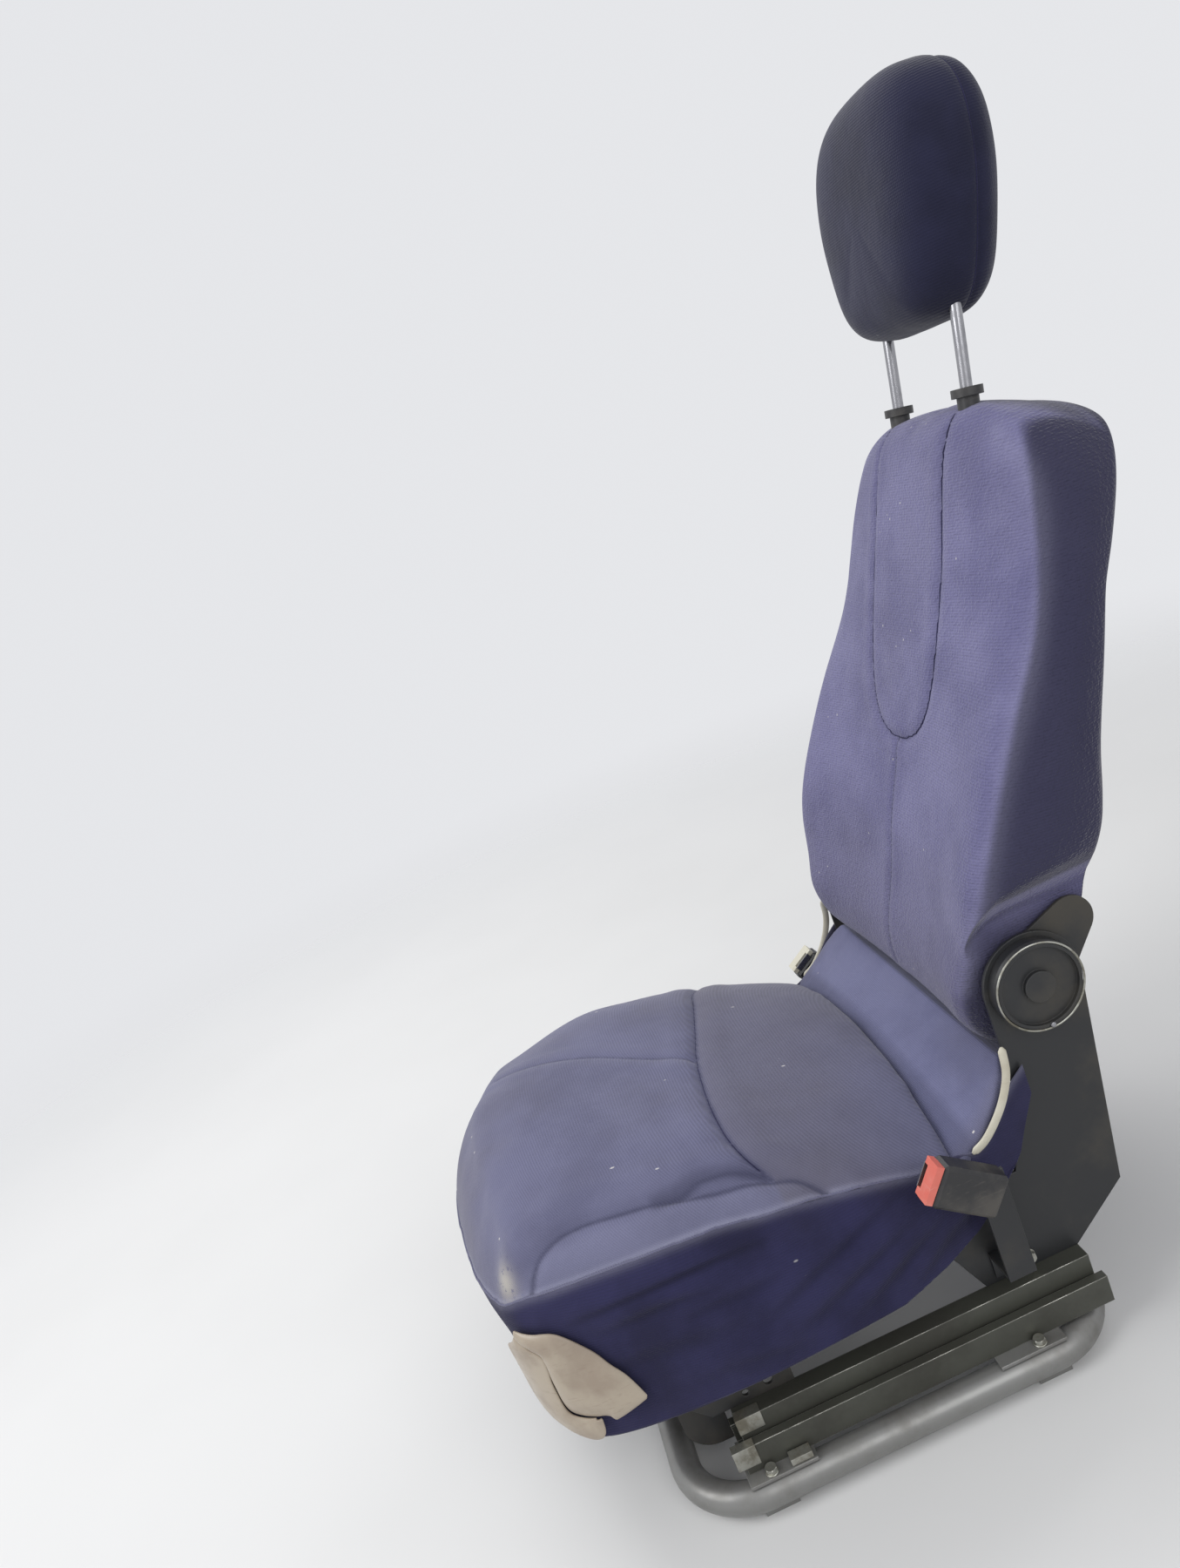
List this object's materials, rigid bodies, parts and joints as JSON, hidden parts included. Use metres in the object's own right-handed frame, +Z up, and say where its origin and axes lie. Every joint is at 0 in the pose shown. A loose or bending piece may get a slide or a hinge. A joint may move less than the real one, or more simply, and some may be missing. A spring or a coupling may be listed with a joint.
{
  "type": "vehicle seat",
  "caption": "Car driver's seat in ribbed blue knit on slide rails and a tubular floor frame, with a reclining backrest and a raised headrest.",
  "frame": {"origin": "on the floor, at the centre of the four floor bolt holes", "axes": "+X towards the occupant's left, +Y rearwards, +Z up; the seat faces -Y"},
  "size_m": [0.5026, 0.7486, 1.0217],
  "materials": {
    "seat_cloth": "ribbed knit, matt",
    "skirt_cloth": "smooth knit, matt",
    "headrest_cloth": "ribbed knit, matt",
    "cap_plastic": "fine grain, dusty",
    "strip_plastic": "smooth",
    "black_plastic": "fine grain",
    "button_plastic": "smooth",
    "frame_paint": "worn satin",
    "rail_paint": "worn satin",
    "black_paint": "satin, oily",
    "plated_steel": "zinc, dull",
    "post_chrome": "polished"
  },
  "bodies": {
    "floor_frame": {"floor_loop": "frame_paint", "foot_front_left": "frame_paint", "foot_front_right": "frame_paint", "foot_rear_left": "frame_paint", "foot_rear_right": "frame_paint", "rail_plate_front_left": "frame_paint", "rail_plate_front_right": "frame_paint", "rail_plate_rear_left": "frame_paint", "rail_plate_rear_right": "frame_paint", "lower_rail_left": "rail_paint", "lower_rail_right": "rail_paint"},
    "seat": {"upper_rail_left": "rail_paint", "upper_rail_right": "rail_paint", "slide_latch_left": "plated_steel", "slide_latch_right": "plated_steel", "side_plate_left": "black_paint", "side_plate_right": "black_paint", "recliner_left": "black_paint", "recliner_right": "black_paint", "front_cross_tube": "black_paint", "rear_cross_tube": "black_paint", "seat_pan": "black_paint", "cushion": "seat_cloth", "skirt_left": "skirt_cloth", "skirt_right": "skirt_cloth", "skirt_front": "skirt_cloth", "corner_cap_left": "cap_plastic", "corner_cap_right": "cap_plastic", "rear_flap": "seat_cloth", "edge_strip_left": "strip_plastic", "edge_strip_right": "strip_plastic", "buckle_left": "black_plastic", "buckle_right": "black_plastic", "buckle_button_left": "button_plastic", "buckle_button_right": "strip_plastic", "buckle_strap_left": "black_paint", "buckle_strap_right": "black_paint"},
    "backrest": {"back_arm_left": "black_paint", "back_arm_right": "black_paint", "back_pad": "seat_cloth", "post_sleeve_left": "black_plastic", "post_sleeve_right": "black_plastic"},
    "headrest": {"headrest_post_left": "post_chrome", "headrest_post_right": "post_chrome", "headrest_pad": "headrest_cloth"}
  },
  "joints": [
    {"name": "seat_slide", "type": "slide", "parent": "floor_frame", "child": "seat", "axis": [0, 1, 0], "range_m": [-0.08, 0.08]},
    {"name": "back_recline", "type": "hinge", "parent": "seat", "child": "backrest", "pos_m": [0, 0.222, 0.322], "axis": [-1, 0, 0], "range_deg": [-25, 40]},
    {"name": "headrest_slide", "type": "slide", "parent": "backrest", "child": "headrest", "axis": [0, 0.1564, 0.9877], "range_m": [-0.045, 0.02]}
  ]
}
